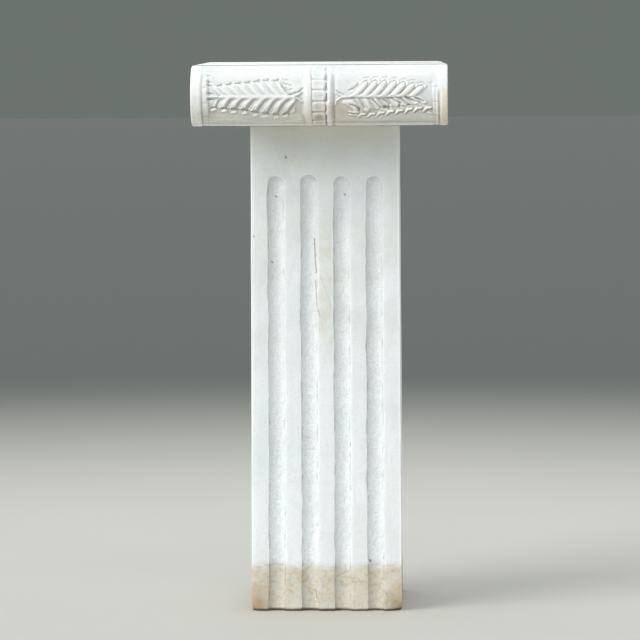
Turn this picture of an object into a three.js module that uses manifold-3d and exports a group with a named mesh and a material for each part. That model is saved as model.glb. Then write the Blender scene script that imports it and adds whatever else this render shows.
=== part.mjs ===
// A marble pedestal of two blocks: a square shaft with four flutes on each face, and on it an Ionic
// capital whose two carved rolls lie across the front and the back. Each roll has a beaded belt round
// its middle, a long leaf on either half, and ends that show as volutes from the sides.
// Millimetres, +Z up, X along the rolls, the front towards -Y, origin at the middle of the underside.

import * as THREE from "three";
import { mergeVertices } from "three/addons/utils/BufferGeometryUtils.js";
import Module from "manifold-3d";

const wasm = await Module();
wasm.setup();

// Driving dimensions
const totalHeight = 914;
const shaft = { width: 248.5, height: 809, taper: 5, offsetX: 4 };
const flute = { perFace: 4, pitch: 55, width: 28.2, depth: 7.5, topHeight: 726, sides: 16 };
const footChips = [
  { side: 1, run: 6, rise: 17 },
  { side: -1, run: 6, rise: 8 },
];
const jointGap = 0.3; // between the shaft and the capital that stands on it
const roll = { length: 415, diameter: 98.6, groundDepth: 2.8, sides: 24 };
const capitalDepth = 548; // over both rolls
const abacus = { length: 380, depth: 342, spread: 13, bedded: 3 };
const endBand = { width: 17, grooveWidth: 1.6, grooveDepth: 2.2, rim: 4.5, recess: 3 };
const blockStrip = { width: 8.5, depth: 0.8, angle: 30, cutWidth: 1.6, cutDepth: 2.6 };
const belt = { halfWidth: 12.4, fillet: 9.2, sunk: 4.2, roundness: 1.2 };
const bead = { perRoll: 9, angle: 22.5, halfLength: 11.6, halfWidth: 8.6, height: 2.8 };
const border = { startAngle: 67, height: 2.4, bedded: 3 }; // plain edge at the top and the foot of a panel
const stem = { forkOut: 26, halfWidth: 3.4, height: 3.2 };
const forkArm = { middleOut: 15, rise: 6, halfLength: 15, halfWidth: 2.8, height: 2.8, turn: 150 };
const drilled = { radius: 1.8, depth: 2.5, reachStep: 1.7 };
const volute = { turns: 2.1, steps: 24, eye: 8, outerRidge: 3.6, innerRidge: 2.4, bedded: 1 };
const canalis = { height: 36, border: 4.2 };
const echinus = { footReach: 140, headReach: 192, halfDepth: 196, steps: 5 };

// Places that follow from them
const rollRadius = roll.diameter / 2;
const rollHalf = roll.length / 2;
const groundRadius = rollRadius - roll.groundDepth;
const bedHeight = shaft.height + jointGap;
const rollAxisHeight = bedHeight + rollRadius;
const rollTop = bedHeight + roll.diameter;
const rollAxisY = capitalDepth / 2 - rollRadius;
const stripOuter = rollHalf - endBand.width - endBand.grooveWidth;
const stripInner = stripOuter - blockStrip.width;
const beltEdge = belt.halfWidth + belt.fillet;
const panelInner = beltEdge + 2;
const panelLength = stripInner - panelInner;
const forkX = panelInner + stem.forkOut;
const stemTipX = stripInner - 1;
const lobePitch = (lobes) => (stemTipX - forkX) / (lobes + 0.4); // leaves room for the last lobe's tip

const radians = THREE.MathUtils.degToRad;

// A closed three.js geometry as a solid, with its shared corners merged
function solid(geometry) {
  const bare = geometry.clone();
  bare.deleteAttribute("normal");
  bare.deleteAttribute("uv");
  const merged = mergeVertices(bare, 1e-4);
  const corners = [];
  for (let i = 0; i < merged.index.count; i += 3) {
    const [a, b, c] = [0, 1, 2].map((k) => merged.index.getX(i + k));
    if (a !== b && b !== c && c !== a) corners.push(a, b, c);
  }
  const mesh = new wasm.Mesh({
    numProp: 3,
    vertProperties: new Float32Array(merged.attributes.position.array),
    triVerts: new Uint32Array(corners),
  });
  return new wasm.Manifold(mesh);
}

function fuse(solids) {
  return solids.reduce((whole, piece) => whole.add(piece));
}

function carve(block, cutters) {
  return block.subtract(fuse(cutters));
}

function named(name, block, material) {
  const { vertProperties, triVerts } = block.getMesh();
  const geometry = new THREE.BufferGeometry();
  geometry.setAttribute("position", new THREE.BufferAttribute(vertProperties, 3));
  geometry.setIndex(new THREE.BufferAttribute(triVerts, 1));
  geometry.computeVertexNormals();
  const mesh = new THREE.Mesh(geometry, material);
  mesh.name = name;
  return mesh;
}

// A box given by its lowest and highest corners
function boxBetween([x0, y0, z0], [x1, y1, z1]) {
  const box = new THREE.BoxGeometry(x1 - x0, y1 - y0, z1 - z0);
  return box.translate((x0 + x1) / 2, (y0 + y1) / 2, (z0 + z1) / 2);
}

// Bends a shape that is laid out flat on a roll: X stays along the roll, Y is the arc measured up
// from the front, and Z is the height over the ground
function wrapOnRoll(geometry) {
  const at = geometry.attributes.position;
  for (let i = 0; i < at.count; i++) {
    const angle = at.getY(i) / groundRadius;
    const radius = groundRadius + at.getZ(i);
    const y = -rollAxisY - radius * Math.cos(angle);
    at.setXYZ(i, at.getX(i), y, rollAxisHeight + radius * Math.sin(angle));
  }
  return solid(geometry);
}

const arcOf = (degrees) => radians(degrees) * groundRadius;

// A rounded lobe, laid flat: half sizes along itself, across, and up, turned by an angle
function lobe({ x, arc, length, width, height, turn = 0, square = 1, sides = 6, rows = 3 }) {
  const shape = new THREE.SphereGeometry(1, sides, rows);
  shape.rotateX(Math.PI / 2);
  const at = shape.attributes.position;
  const swell = (v) => Math.sign(v) * Math.abs(v) ** square;
  for (let i = 0; i < at.count; i++) at.setXYZ(i, swell(at.getX(i)), swell(at.getY(i)), at.getZ(i));
  shape.scale(length, width, height);
  shape.rotateZ(radians(turn));
  shape.translate(x, arc, 0);
  return wrapOnRoll(shape);
}

// The shaft: a block that widens a little to its foot, fluted on all four faces
function makeShaft() {
  const reach = (width) => (width / 2) * Math.SQRT2;
  const headReach = reach(shaft.width - shaft.taper / 2);
  const footReach = reach(shaft.width + shaft.taper / 2);
  const block = new THREE.CylinderGeometry(headReach, footReach, shaft.height, 4);
  block.rotateY(Math.PI / 4);
  block.rotateX(Math.PI / 2);
  block.translate(0, 0, shaft.height / 2);

  const halfChord = flute.width / 2;
  const radius = (halfChord ** 2 + flute.depth ** 2) / (2 * flute.depth);
  const axisOut = shaft.width / 2 + radius - flute.depth;
  const headHeight = flute.topHeight - halfChord;
  const cutters = [];
  for (let face = 0; face < 4; face++) {
    for (let i = 0; i < flute.perFace; i++) {
      const along = (i - (flute.perFace - 1) / 2) * flute.pitch;
      const channel = new THREE.CylinderGeometry(radius, radius, headHeight + 10, flute.sides);
      channel.rotateX(Math.PI / 2);
      channel.translate(along, -axisOut, headHeight / 2 - 5);
      const head = new THREE.SphereGeometry(radius, flute.sides, flute.sides / 2);
      head.rotateX(Math.PI / 2);
      head.translate(along, -axisOut, headHeight);
      for (const cutter of [channel, head]) {
        cutter.rotateZ((face * Math.PI) / 2);
        cutters.push(solid(cutter));
      }
    }
  }
  return carve(solid(block), [...cutters, ...cornerChips()]);
}

// The two broken corners at the foot of the front face
function cornerChips() {
  const half = (shaft.width + shaft.taper / 2) / 2;
  return footChips.map(({ side, run, rise }) => {
    const chip = new THREE.OctahedronGeometry(1);
    chip.scale(run, run, rise);
    chip.translate(side * half, -half, 0);
    return solid(chip);
  });
}

// The turned body of a roll, from its middle out to one end, as [place along X, radius]
function rollHalfOutline() {
  const grooved = rollRadius - endBand.grooveDepth;
  const stripRadius = rollRadius - blockStrip.depth;
  const filletMiddle = belt.halfWidth + belt.fillet / 2;
  return [
    [belt.halfWidth, rollRadius - belt.sunk],
    [belt.halfWidth + 1, rollRadius - belt.roundness],
    [filletMiddle, rollRadius],
    [beltEdge - 1, rollRadius - belt.roundness],
    [beltEdge, groundRadius],
    [stripInner - 1, groundRadius],
    [stripInner, stripRadius],
    [stripOuter, stripRadius],
    [stripOuter + endBand.grooveWidth / 2, grooved],
    [rollHalf - endBand.width, rollRadius],
    [rollHalf, rollRadius],
    [rollHalf, rollRadius - endBand.rim],
    [rollHalf - endBand.recess, rollRadius - endBand.rim - 1],
    [rollHalf - endBand.recess, 0],
  ];
}

function turnedRoll() {
  const right = rollHalfOutline();
  const left = right.map(([x, r]) => [-x, r]).reverse();
  const outline = [...left, ...right].map(([x, r]) => new THREE.Vector2(r, x));
  const body = new THREE.LatheGeometry(outline, roll.sides);
  body.rotateZ(-Math.PI / 2);
  body.rotateX(Math.PI / 2);
  body.translate(0, -rollAxisY, rollAxisHeight);
  return solid(body);
}

// The belt's beads: square pillows side by side round the outer half of the roll
function beltBeads() {
  const { halfLength: length, halfWidth: width, height } = bead;
  const beads = [];
  for (let i = 0; i < bead.perRoll; i++) {
    const arc = arcOf((i - (bead.perRoll - 1) / 2) * bead.angle);
    beads.push(lobe({ x: 0, arc, length, width, height, square: 0.6, sides: 8, rows: 4 }));
  }
  return beads;
}

// The plain edges left at the top and the foot of both panels of a roll
function panelBorders() {
  const start = arcOf(border.startAngle);
  const end = arcOf(90);
  const thickness = border.height + 2 * border.bedded;
  const borders = [];
  for (const side of [-1, 1]) {
    for (const up of [-1, 1]) {
      const strip = new THREE.BoxGeometry(panelLength + 4, end - start, thickness, 1, 3, 1);
      const x = side * (panelInner + panelLength / 2);
      strip.translate(x, (up * (start + end)) / 2, border.height / 2 - border.bedded);
      borders.push(wrapOnRoll(strip));
    }
  }
  return borders;
}

// The cuts that part the narrow strip beside each end band into blocks
function blockCuts() {
  const cuts = [];
  for (const side of [-1, 1]) {
    for (let angle = -2.5 * blockStrip.angle; angle < 90; angle += blockStrip.angle) {
      const depth = blockStrip.cutDepth * 2;
      const cut = new THREE.BoxGeometry(blockStrip.width + 2, blockStrip.cutWidth, depth);
      cut.translate(side * (stripInner + blockStrip.width / 2), arcOf(angle), roll.groundDepth);
      cuts.push(wrapOnRoll(cut));
    }
  }
  return cuts;
}

// A leaf on one half of a roll: a forked stem along its middle, and lobes that fan out from the stem
function leaf({ side, lobes, length, slant, upperReach, lowerReach, width, height }) {
  const stemX = (side * (forkX + stemTipX)) / 2;
  const stemHalf = (stemTipX - forkX) / 2 + 3;
  const rib = { x: stemX, arc: 0, length: stemHalf, width: stem.halfWidth, height: stem.height, square: 0.8 };
  const pieces = [lobe(rib)];
  for (const up of [-1, 1]) {
    const x = side * (panelInner + forkArm.middleOut);
    const sizes = { length: forkArm.halfLength, width: forkArm.halfWidth, height: forkArm.height };
    pieces.push(lobe({ x, arc: up * forkArm.rise, ...sizes, turn: side * up * forkArm.turn }));
  }
  const pitch = lobePitch(lobes);
  for (let i = 0; i < lobes; i++) {
    const root = forkX + (i + 0.15) * pitch;
    const taper = 1 - 0.3 * (i / (lobes - 1)) ** 2;
    for (const [up, reach] of [[1, upperReach], [-1, lowerReach]]) {
      const half = (reach * length * taper) / 2;
      const turn = side * up * slant;
      const x = side * (root + half * Math.cos(radians(slant)));
      const arc = up * (2 + half * Math.sin(radians(slant)));
      pieces.push(lobe({ x, arc, length: half, width, height, turn: side > 0 ? turn : 180 + turn }));
    }
  }
  return pieces;
}

// The drilled holes along the upper edge of a leaf
function drilledEyes({ side, lobes, reach }) {
  const pitch = lobePitch(lobes);
  const height = 2 * (roll.groundDepth + drilled.depth) - 1;
  const eyes = [];
  for (let i = 0; i < lobes; i++) {
    const eye = new THREE.CylinderGeometry(drilled.radius, drilled.radius, height, 5);
    eye.rotateX(Math.PI / 2);
    const arc = arcOf(reach - i * drilled.reachStep);
    eye.translate(side * (forkX + (i + 0.9) * pitch), arc, height / 2 - drilled.depth);
    eyes.push(wrapOnRoll(eye));
  }
  return eyes;
}

// A volute: one spiral ridge on the sunk end of a roll, from its rim in to a round eye
function voluteRidge(side) {
  const { lerp } = THREE.MathUtils;
  const rimRadius = rollRadius - endBand.rim;
  const depth = endBand.recess + volute.bedded;
  const outer = [];
  const inner = [];
  for (let i = 0; i <= volute.steps; i++) {
    const share = i / volute.steps;
    const angle = share * volute.turns * 2 * Math.PI;
    const radius = lerp(rimRadius + 0.8, volute.eye, share ** 0.8);
    const ridge = lerp(volute.outerRidge, volute.innerRidge, share);
    outer.push(new THREE.Vector2(radius * Math.cos(angle), radius * Math.sin(angle)));
    inner.push(new THREE.Vector2((radius - ridge) * Math.cos(angle), (radius - ridge) * Math.sin(angle)));
  }
  const shape = new THREE.Shape([...outer, ...inner.reverse()]);
  const ridge = new THREE.ExtrudeGeometry(shape, { depth, bevelEnabled: false });
  const eye = new THREE.CylinderGeometry(volute.eye - 1, volute.eye, depth, 8);
  eye.rotateX(Math.PI / 2);
  eye.translate(0, 0, depth / 2);
  return [ridge, eye].map((geometry) => {
    // The ridge is drawn with its Y across the capital, so that it starts on the inner side
    geometry.rotateX(Math.PI / 2);
    geometry.rotateZ(Math.PI / 2);
    if (side < 0) geometry.rotateZ(Math.PI);
    geometry.translate(side * (rollHalf - depth), -rollAxisY, rollAxisHeight);
    return solid(geometry);
  });
}

// One whole roll at the front. The back one is the same with a plainer leaf, turned round
function carvedRoll(leaves) {
  const pieces = [turnedRoll(), ...beltBeads(), ...panelBorders(), ...voluteRidge(-1), ...voluteRidge(1)];
  const eyes = [];
  for (const plan of leaves) {
    pieces.push(...leaf(plan));
    if (plan.eyes) eyes.push(...drilledEyes({ side: plan.side, lobes: plan.lobes, reach: plan.eyes }));
  }
  return carve(fuse(pieces), [...blockCuts(), ...eyes]);
}

// The block between the rolls: the canalis on top, the plain swelling echinus below it
function middleBlock() {
  const canalisFoot = rollTop - canalis.height;
  const face = rollHalf - endBand.recess;
  const lowBorderTop = canalisFoot + canalis.border;
  const strips = [
    boxBetween([-face, -rollAxisY, canalisFoot], [face, rollAxisY, rollTop - 0.5]),
    boxBetween([-rollHalf, -rollAxisY, rollTop - canalis.border], [rollHalf, rollAxisY, rollTop - 0.2]),
    boxBetween([-rollHalf, -echinus.halfDepth, canalisFoot], [rollHalf, echinus.halfDepth, lowBorderTop]),
  ];
  const swelling = new THREE.Shape();
  swelling.moveTo(-echinus.footReach, 0);
  swelling.lineTo(echinus.footReach, 0);
  const rise = canalisFoot - bedHeight + 0.5;
  const out = echinus.headReach - echinus.footReach;
  for (const side of [1, -1]) {
    for (let i = 0; i <= echinus.steps; i++) {
      const angle = ((side > 0 ? i : echinus.steps - i) / echinus.steps) * (Math.PI / 2);
      swelling.lineTo(side * (echinus.footReach + out * Math.sin(angle)), rise * (1 - Math.cos(angle)));
    }
  }
  const block = new THREE.ExtrudeGeometry(swelling, { depth: echinus.halfDepth * 2, bevelEnabled: false });
  block.rotateX(Math.PI / 2);
  block.translate(0, echinus.halfDepth, bedHeight);
  return fuse([...strips, block].map(solid));
}

// The thin abacus: a slab with hollow sloping sides, as rings of four corners from its foot to its top
function abacusSlab() {
  const rise = totalHeight - rollTop;
  const rings = [
    [abacus.spread, rollTop - abacus.bedded],
    [abacus.spread, rollTop + 0.05 * rise],
    [abacus.spread * 0.55, rollTop + 0.25 * rise],
    [abacus.spread * 0.2, rollTop + 0.55 * rise],
    [abacus.spread * 0.06, rollTop + 0.86 * rise],
    [0, totalHeight],
  ];
  const points = [];
  for (const [spread, height] of rings) {
    const x = abacus.length / 2 + spread;
    const y = abacus.depth / 2 + spread;
    points.push([-x, -y, height], [x, -y, height], [x, y, height], [-x, y, height]);
  }
  const corners = [0, 2, 1, 0, 3, 2];
  for (let ring = 0; ring < rings.length - 1; ring++) {
    for (let i = 0; i < 4; i++) {
      const [a, b] = [ring * 4 + i, ring * 4 + ((i + 1) % 4)];
      corners.push(a, b, b + 4, a, b + 4, a + 4);
    }
  }
  const top = (rings.length - 1) * 4;
  corners.push(top, top + 1, top + 2, top, top + 2, top + 3);
  const geometry = new THREE.BufferGeometry();
  geometry.setAttribute("position", new THREE.Float32BufferAttribute(points.flat(), 3));
  geometry.setIndex(corners);
  return solid(geometry);
}

function makeCapital() {
  const leafHeight = roll.groundDepth + 0.6;
  const shared = { length: 42, width: 6.6, height: leafHeight };
  const front = carvedRoll([
    { ...shared, side: -1, lobes: 7, slant: 62, upperReach: 0.95, lowerReach: 0.82, eyes: 36 },
    { ...shared, side: 1, lobes: 7, slant: 50, upperReach: 1, lowerReach: 0.8, eyes: 30 },
  ]);
  const backLeaf = { ...shared, lobes: 5, width: 9, slant: 58, upperReach: 0.85, lowerReach: 0.85 };
  const back = carvedRoll([
    { ...backLeaf, side: -1 },
    { ...backLeaf, side: 1 },
  ]).rotate([0, 0, 180]);
  return fuse([front, back, middleBlock(), abacusSlab()]);
}

const marble = new THREE.MeshStandardMaterial({ color: 0xe6e8e2, roughness: 0.55, metalness: 0 });
const agedMarble = new THREE.MeshStandardMaterial({ color: 0xdcdacd, roughness: 0.6, metalness: 0 });

const pedestal = new THREE.Group();
const shaftMesh = named("shaft", makeShaft(), marble);
shaftMesh.position.x = shaft.offsetX;
pedestal.add(shaftMesh, named("capital", makeCapital(), agedMarble));

export default pedestal;
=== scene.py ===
"""The looks of a marble pedestal: a fluted square shaft under an Ionic capital with two carved rolls.

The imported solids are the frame. Both blocks are carved again here as fine meshes of the same form: a flat
sheet is wrapped round each block, and a height field, worked out from named sizes, carves it.
Carving sizes are in millimetres, and the finished meshes in metres, as the frame is.
"""

import logging
import math
from dataclasses import dataclass, field
from enum import Enum

import bmesh
import bpy
import numpy as np
from mathutils import Matrix, Vector

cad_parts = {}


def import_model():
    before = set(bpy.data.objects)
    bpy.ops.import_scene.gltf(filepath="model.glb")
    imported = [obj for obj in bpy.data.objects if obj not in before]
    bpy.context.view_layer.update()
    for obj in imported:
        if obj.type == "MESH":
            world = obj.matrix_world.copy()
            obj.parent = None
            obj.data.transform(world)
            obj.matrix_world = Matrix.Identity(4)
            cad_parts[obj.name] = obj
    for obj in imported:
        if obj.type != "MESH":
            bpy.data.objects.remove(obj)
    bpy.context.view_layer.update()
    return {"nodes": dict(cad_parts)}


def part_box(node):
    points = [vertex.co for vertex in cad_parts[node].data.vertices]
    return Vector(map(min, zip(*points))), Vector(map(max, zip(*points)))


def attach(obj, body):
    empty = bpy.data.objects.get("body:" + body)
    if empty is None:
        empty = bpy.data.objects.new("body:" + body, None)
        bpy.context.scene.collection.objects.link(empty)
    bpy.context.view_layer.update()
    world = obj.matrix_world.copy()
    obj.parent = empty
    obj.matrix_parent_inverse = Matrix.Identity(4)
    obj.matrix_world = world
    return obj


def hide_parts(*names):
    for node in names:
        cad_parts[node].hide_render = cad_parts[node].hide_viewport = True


LOG = logging.getLogger("pedestal")
MM = 0.001


class Side(Enum):
    """Which way something lies from the middle of a roll."""

    LEFT = -1
    RIGHT = 1


class Style(Enum):
    """How the lobes of a leaf are cut."""

    SCOOPED = "scooped"
    FINGERS = "fingers"
    PLAIN = "plain"


def ease(value: np.ndarray) -> np.ndarray:
    """Return a smooth step from 0 to 1 as the value goes from 0 to 1."""
    share = np.clip(value, 0.0, 1.0)
    return share * share * (3.0 - 2.0 * share)


def between(value: np.ndarray, low: float, high: float, soft: float) -> np.ndarray:
    """Return 1 inside a span and 0 outside it.

    Args:
        value: Where the field is read.
        low: Start of the span.
        high: End of the span.
        soft: Width of the fade at each end.

    Returns:
        The mask, as an array of the same shape.
    """
    return ease((value - low) / soft + 0.5) * ease((high - value) / soft + 0.5)


def lattice_noise(u: np.ndarray, v: np.ndarray, cell: float, seed: int) -> np.ndarray:
    """Return smooth noise from -1 to 1 over two coordinates.

    Args:
        u: First coordinate, in millimetres.
        v: Second coordinate, in millimetres.
        cell: Size of one bump, in millimetres.
        seed: Chooses the pattern.

    Returns:
        The noise, as an array of the same shape.
    """
    table = np.random.default_rng(seed).uniform(-1.0, 1.0, (97, 97))
    column, row = np.floor(u / cell).astype(int), np.floor(v / cell).astype(int)
    fu, fv = ease(u / cell - column), ease(v / cell - row)
    size = len(table)
    corner = [[table[(column + i) % size, (row + j) % size] for j in (0, 1)] for i in (0, 1)]
    low = corner[0][0] * (1 - fu) + corner[1][0] * fu
    high = corner[0][1] * (1 - fu) + corner[1][1] * fu
    return low * (1 - fv) + high * fv


def blurred(grid: np.ndarray, reach: int, closed: bool = False) -> np.ndarray:
    """Return a grid smoothed by a few cells each way.

    Args:
        grid: The values, by column and row.
        reach: How many cells the blur takes in on each side.
        closed: True where the rows meet again behind the piece.

    Returns:
        The smoothed grid.
    """
    weights = np.exp(-0.5 * (np.arange(-2 * reach, 2 * reach + 1) / reach) ** 2)
    weights /= weights.sum()
    result = grid
    for axis in (0, 1):
        mode = "wrap" if closed and axis == 1 else "edge"
        pad = [(0, 0), (0, 0)]
        pad[axis] = (2 * reach, 2 * reach)
        wide = np.pad(result, pad, mode=mode)
        length = grid.shape[axis]
        slices = [wide.take(range(i, i + length), axis=axis) for i in range(len(weights))]
        result = sum(w * part for w, part in zip(weights, slices))
    return result


@dataclass(frozen=True)
class Stroke:
    """A line carved or left standing in the stone, with a width along its way."""

    points: tuple[tuple[float, float], ...]
    widths: tuple[float, ...]

    def measure(self, x: np.ndarray, arc: np.ndarray) -> np.ndarray:
        """Return each place's distance from the line, as a share of the half width there.

        Args:
            x: Places along the roll, in millimetres.
            arc: Places round the roll, in millimetres.

        Returns:
            The share: 0 on the line, 1 at its edge and more outside it.
        """
        marks = np.linspace(0, 1, len(self.widths))
        widths = np.interp(np.linspace(0, 1, len(self.points)), marks, self.widths)
        nearest = np.full(x.shape, 99.0)
        for (start, end), (w0, w1) in zip(zip(self.points, self.points[1:]), zip(widths, widths[1:])):
            dx, da = end[0] - start[0], end[1] - start[1]
            share = ((x - start[0]) * dx + (arc - start[1]) * da) / (dx * dx + da * da)
            share = np.clip(share, 0.0, 1.0)
            away = np.hypot(x - start[0] - share * dx, arc - start[1] - share * da)
            nearest = np.minimum(nearest, away / (w0 + (w1 - w0) * share))
        return nearest


@dataclass
class Relief:
    """A height field over a roll: 0 is the roll's full radius, and cut places are below it."""

    x: np.ndarray
    arc: np.ndarray
    height: np.ndarray = field(init=False)

    def __post_init__(self) -> None:
        """Start from an uncut surface."""
        self.height = np.zeros(self.x.shape)

    def lower_to(self, mask: np.ndarray, level: float) -> None:
        """Bring the surface to a level where the mask is 1."""
        self.height = self.height * (1 - mask) + level * mask

    def stand(self, stroke: Stroke, foot: float, crest: float) -> None:
        """Leave a rounded ridge standing along a stroke, from its foot level to its crest level."""
        share = stroke.measure(self.x, self.arc)
        dome = foot + (crest - foot) * np.sqrt(np.clip(1 - share * share, 0, 1))
        self.height = np.where(share < 1, np.maximum(self.height, dome), self.height)

    def furrow(self, stroke: Stroke, depth: float) -> None:
        """Cut a soft round groove along a stroke."""
        share = stroke.measure(self.x, self.arc)
        self.height = self.height - depth * np.exp(-(share**2) * 1.6)

    def groove(self, stroke: Stroke, depth: float) -> None:
        """Cut a soft V along a stroke."""
        share = np.clip(stroke.measure(self.x, self.arc), 0, 1)
        self.height = self.height - depth * (1 - share) ** 1.2

    def knob(self, x: float, arc: float, size: tuple[float, float], foot: float, crest: float) -> None:
        """Leave a small rounded knob standing."""
        share = np.hypot((self.x - x) / size[0], (self.arc - arc) / size[1])
        dome = foot + (crest - foot) * np.sqrt(np.clip(1 - share * share, 0, 1))
        self.height = np.where(share < 1, np.maximum(self.height, dome), self.height)

    def drill(self, x: float, arc: float, size: tuple[float, float], depth: float) -> None:
        """Sink a drilled hole with steep sides."""
        share = np.hypot((self.x - x) / size[0], (self.arc - arc) / size[1])
        self.height = self.height - depth * ease(1.35 - share)


@dataclass(frozen=True)
class LobeRow:
    """One row of lobes that fan out from the stem of a leaf."""

    side: Side
    up: int
    first_root: float
    root_pitch: float
    sweep: float
    sweep_step: float
    reach: tuple[tuple[float, float], ...]
    lobes: int
    style: Style
    crest: float = -0.3
    cut: float = 2.3
    skew: float = 0.68
    bow: float = 0.45
    stem_arc: float = -2.5
    clear: float = 0.0

    def reach_at(self, out: np.ndarray) -> np.ndarray:
        """Return how far round the roll the lobes reach, at a distance out from the belt."""
        places, arcs = zip(*self.reach)
        return np.interp(out, places, arcs)

    def place(self, index: float, share: float, start: float) -> tuple[float, float]:
        """Return a point of the row's ridge lines.

        Args:
            index: Which ridge, where halves lie in the middle of a lobe.
            share: How far from the stem, with 1 at the lobes' tips.
            start: Where the panel begins beside the belt.

        Returns:
            The place along the roll and round it.
        """
        bend = share**self.bow
        out = self.first_root + index * self.root_pitch + (self.sweep + self.sweep_step * index) * bend
        arc = self.stem_arc + self.up * share * float(self.reach_at(np.array(out)))
        return self.side.value * (start + out), arc

    def carve(self, relief: Relief, start: float, ground: float) -> None:
        """Cut the row of lobes into a relief.

        Args:
            relief: The roll's height field.
            start: Where the panel begins beside the belt.
            ground: Level of the sunk ground round the leaf.
        """
        out = relief.x * self.side.value - start
        reach = self.reach_at(out)
        share = (relief.arc - self.stem_arc) * self.up / reach
        bend = np.clip(share, 0, 1) ** self.bow
        index = (out - self.first_root - self.sweep * bend) / (self.root_pitch + self.sweep_step * bend)
        phase = index - np.floor(index)
        inside = (index > 0) & (index < self.lobes) & (share > 0) & (out > self.clear)
        tip = 1.0 - 0.22 * np.abs(2 * phase - 1) ** 2.2
        edge_tip = (tip - share) * reach
        cutter = {Style.SCOOPED: self.scooped, Style.FINGERS: self.fingers, Style.PLAIN: self.plain}[self.style]
        shape = cutter(phase, share, edge_tip)
        mask = inside & (edge_tip > -3.0 if self.style is Style.FINGERS else edge_tip > -0.4)
        relief.height = np.where(mask, np.maximum(shape, ground - 1.0), relief.height)

    def scooped(self, phase: np.ndarray, share: np.ndarray, edge_tip: np.ndarray) -> np.ndarray:
        """Return hollowed lobes: each falls from a sharp ridge into a scoop and rises slowly to the next."""
        rooted = ease(share / 0.2)
        rising = (phase / self.skew) ** 1.15
        falling = np.clip((1 - phase) / (1 - self.skew), 0, 1) ** 0.7
        hollow = np.where(phase < self.skew, rising, falling)
        splayed = ease((share - 0.3) / 0.4)
        fan = np.where(phase < self.skew, np.cos(8.4 * np.pi * phase - 0.6), 0.0)
        ripple = (1.3 if self.cut > 4 else 0.5) * fan * splayed
        shape = self.crest - self.cut * hollow * rooted + ripple
        return shape - 2.2 * np.clip(1.2 - edge_tip, 0, 2)

    def fingers(self, phase: np.ndarray, share: np.ndarray, edge_tip: np.ndarray) -> np.ndarray:
        """Return narrow rounded fingers, each outlined by a groove that loops over its tip."""
        half = self.root_pitch * 0.3
        across = np.abs(phase - 0.5) * self.root_pitch * 0.9
        beyond = np.clip(half + 1.2 - edge_tip, 0, None)
        away = np.hypot(across, beyond)
        dome = np.sqrt(np.clip(1 - (away / (half + 1.0)) ** 2, 0, 1))
        left_side = 0.55 + 0.45 * ease((0.62 - phase) / 0.2)
        groove = np.exp(-(((away - half - 1.2) / 1.1) ** 2)) * ease(share / 0.2) * left_side
        between_fingers = self.crest - 0.9
        shape = between_fingers + (self.crest - between_fingers) * dome - self.cut * groove
        return np.where(edge_tip > -1.0, shape, np.minimum(shape, between_fingers))

    def plain(self, phase: np.ndarray, share: np.ndarray, edge_tip: np.ndarray) -> np.ndarray:
        """Return plain rounded lobes."""
        edge = np.minimum(np.minimum(phase, 1 - phase) * self.root_pitch * 0.8, edge_tip)
        rounded = np.sqrt(np.clip(1 - np.clip(1 - edge / 5.0, 0, 1) ** 2, 0, 1))
        return self.crest - self.cut * (1 - rounded)


@dataclass(frozen=True)
class RollSizes:
    """Where the bands of a roll lie, in millimetres out from its middle."""

    half: float
    radius: float
    axis_y: float
    axis_z: float
    end_bands: tuple[float, float] = (17.6, 13.4)
    groove: float = 1.8
    strip: float = 8.5
    block_angle: float = 30.0
    belt: float = 12.4
    fillet: float = 9.2
    bead_angle: float = 22.5
    bead_offset: float = -0.6
    ground: float = -3.8
    rim: float = 4.5
    recess: float = 3.0
    worn_edge: float = 2.2

    def strip_outer(self, side: Side) -> float:
        """Outer edge of the strip of blocks on one half."""
        return self.half - self.end_bands[side is Side.RIGHT] - self.groove

    def strip_inner(self, side: Side) -> float:
        """Inner edge of the strip of blocks on one half."""
        return self.strip_outer(side) - self.strip

    @property
    def panel_start(self) -> float:
        """Where a leaf's panel begins beside the belt."""
        return self.belt + self.fillet + 2.0


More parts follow.
